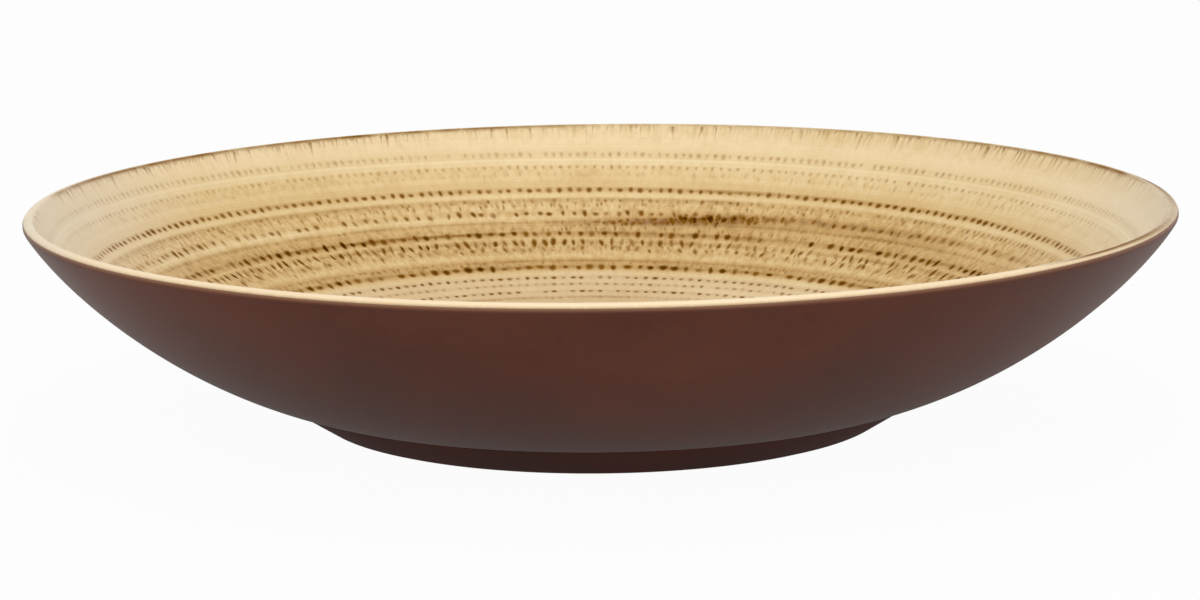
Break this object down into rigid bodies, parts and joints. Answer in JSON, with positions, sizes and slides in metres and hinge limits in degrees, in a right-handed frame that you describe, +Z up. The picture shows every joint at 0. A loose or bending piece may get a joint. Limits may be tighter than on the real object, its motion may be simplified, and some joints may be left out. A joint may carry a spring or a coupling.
{
  "type": "deep coupe plate",
  "caption": "Deep round coupe plate with a turned foot ring, cream glazed inside with rings of brown marks and matt brown glaze outside, for serving food.",
  "frame": {"origin": "centre of the foot's standing face, on the plate's axis, where the plate meets the table", "axes": "+Z up along the plate's axis of rotation, from the foot to the rim; +X and +Y lie in the plane of the rim"},
  "size_m": [0.26, 0.26, 0.0494],
  "materials": {
    "bare_clay": "bare fired stoneware, matt and slightly gritty",
    "cream_glaze": "satin cream glaze, toasted tan in rings",
    "brown_glaze": "satin-matt dark brown glaze",
    "foot_glaze": "matt dark red-brown glaze",
    "rim_oxide": "brown oxide edge that bleeds into the glaze",
    "mark_oxide": "brown oxide marks in the glaze"
  },
  "bodies": {
    "root": {"clay_shell": "bare_clay", "foot_ring": "bare_clay", "interior_glaze": "cream_glaze", "wall_glaze": "brown_glaze", "foot_glaze": "foot_glaze", "underside_glaze": "brown_glaze", "rim_band": "rim_oxide", "wall_band_01": "mark_oxide", "wall_band_02": "mark_oxide", "wall_band_03": "mark_oxide", "wall_band_04": "mark_oxide", "wall_band_05": "mark_oxide", "wall_band_06": "mark_oxide", "wall_band_07": "mark_oxide", "wall_band_08": "mark_oxide", "wall_band_09": "mark_oxide", "wall_band_10": "mark_oxide", "wall_band_11": "mark_oxide", "wall_band_12": "mark_oxide", "wall_band_13": "mark_oxide", "wall_band_14": "mark_oxide", "wall_band_15": "mark_oxide", "floor_band_01": "mark_oxide", "floor_band_02": "mark_oxide", "floor_band_03": "mark_oxide", "floor_band_04": "mark_oxide"}
  },
  "joints": []
}
